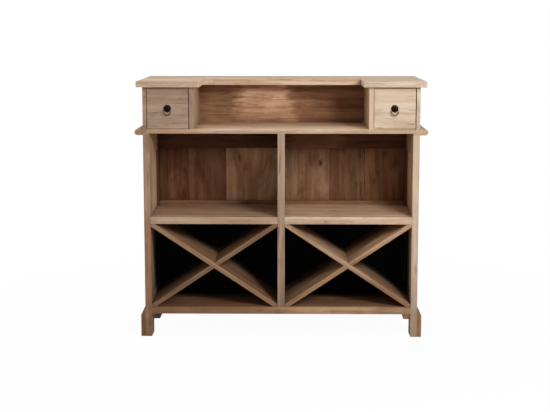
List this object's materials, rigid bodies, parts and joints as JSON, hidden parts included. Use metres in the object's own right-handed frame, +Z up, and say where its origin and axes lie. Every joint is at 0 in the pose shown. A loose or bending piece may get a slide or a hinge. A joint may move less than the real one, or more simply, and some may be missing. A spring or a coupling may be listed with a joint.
{
  "type": "bar counter",
  "caption": "Wooden bar counter: drawers with ring pulls beside an open niche, open shelf bays above crossed bottle racks, waist moulding, plank back, flared feet.",
  "frame": {"origin": "middle of the bounding box on the floor", "axes": "+X to the right seen from the barkeeper's side, +Y towards the customers, +Z up"},
  "size_m": [1.222, 0.5, 1.085],
  "materials": {
    "frame_wood": "matt reclaimed wood, legs, rails, mouldings and walls",
    "shelf_wood": "matt reclaimed wood, shelves and deck",
    "plank_wood": "matt reclaimed planks, back and side panels",
    "rack_wood": "matt reclaimed wood, crossed rack boards",
    "drawer_wood": "matt reclaimed wood, drawer fronts",
    "lining_wood": "plain sawn wood, drawer boxes",
    "top_wood": "worn waxed wood, bar top",
    "black_iron": "black iron, satin"
  },
  "bodies": {
    "counter": {"back_plank_1": "plank_wood", "back_plank_2": "plank_wood", "back_plank_3": "plank_wood", "back_plank_4": "plank_wood", "back_plank_5": "plank_wood", "back_plank_6": "plank_wood", "back_rail_bottom": "frame_wood", "back_rail_middle": "frame_wood", "back_rail_top": "frame_wood", "bottom_board": "shelf_wood", "centre_divider": "frame_wood", "deck_board": "shelf_wood", "foot_front_left": "frame_wood", "foot_front_right": "frame_wood", "foot_rear_left": "frame_wood", "foot_rear_right": "frame_wood", "leg_front_left": "frame_wood", "leg_front_right": "frame_wood", "leg_rear_left": "frame_wood", "leg_rear_right": "frame_wood", "niche_back": "plank_wood", "niche_wall_left": "frame_wood", "niche_wall_right": "frame_wood", "rack_left_falling": "rack_wood", "rack_left_rising": "rack_wood", "rack_right_falling": "rack_wood", "rack_right_rising": "rack_wood", "shelf_left": "shelf_wood", "shelf_right": "shelf_wood", "side_panel_left": "plank_wood", "side_panel_right": "plank_wood", "side_rail_bottom_left": "frame_wood", "side_rail_bottom_right": "frame_wood", "side_rail_top_left": "frame_wood", "side_rail_top_right": "frame_wood", "top_arm_left": "top_wood", "top_arm_right": "top_wood", "top_middle": "top_wood", "top_rear": "top_wood", "upper_side_left": "frame_wood", "upper_side_right": "frame_wood", "waist_moulding_left": "frame_wood", "waist_moulding_rear": "frame_wood", "waist_moulding_right": "frame_wood"},
    "drawer_left_box": {"drawer_left_back": "lining_wood", "drawer_left_bottom": "lining_wood", "drawer_left_front": "drawer_wood", "drawer_left_side_left": "lining_wood", "drawer_left_side_right": "lining_wood", "pull_left_eye_pin": "black_iron", "pull_left_rosette": "black_iron"},
    "drawer_right_box": {"drawer_right_back": "lining_wood", "drawer_right_bottom": "lining_wood", "drawer_right_front": "drawer_wood", "drawer_right_side_left": "lining_wood", "drawer_right_side_right": "lining_wood", "pull_right_eye_pin": "black_iron", "pull_right_rosette": "black_iron"},
    "ring_left": {"pull_left_ring": "black_iron"},
    "ring_right": {"pull_right_ring": "black_iron"}
  },
  "joints": [
    {"name": "drawer_left_slide", "type": "slide", "parent": "counter", "child": "drawer_left_box", "axis": [0, -1, 0], "range_m": [0, 0.25]},
    {"name": "drawer_right_slide", "type": "slide", "parent": "counter", "child": "drawer_right_box", "axis": [0, -1, 0], "range_m": [0, 0.25]},
    {"name": "ring_left_swing", "type": "hinge", "parent": "drawer_left_box", "child": "ring_left", "pos_m": [-0.47325, -0.2359, 0.97075], "axis": [-1, 0, 0], "range_deg": [-10, 150]},
    {"name": "ring_right_swing", "type": "hinge", "parent": "drawer_right_box", "child": "ring_right", "pos_m": [0.47025, -0.2359, 0.97075], "axis": [-1, 0, 0], "range_deg": [-10, 150]}
  ]
}
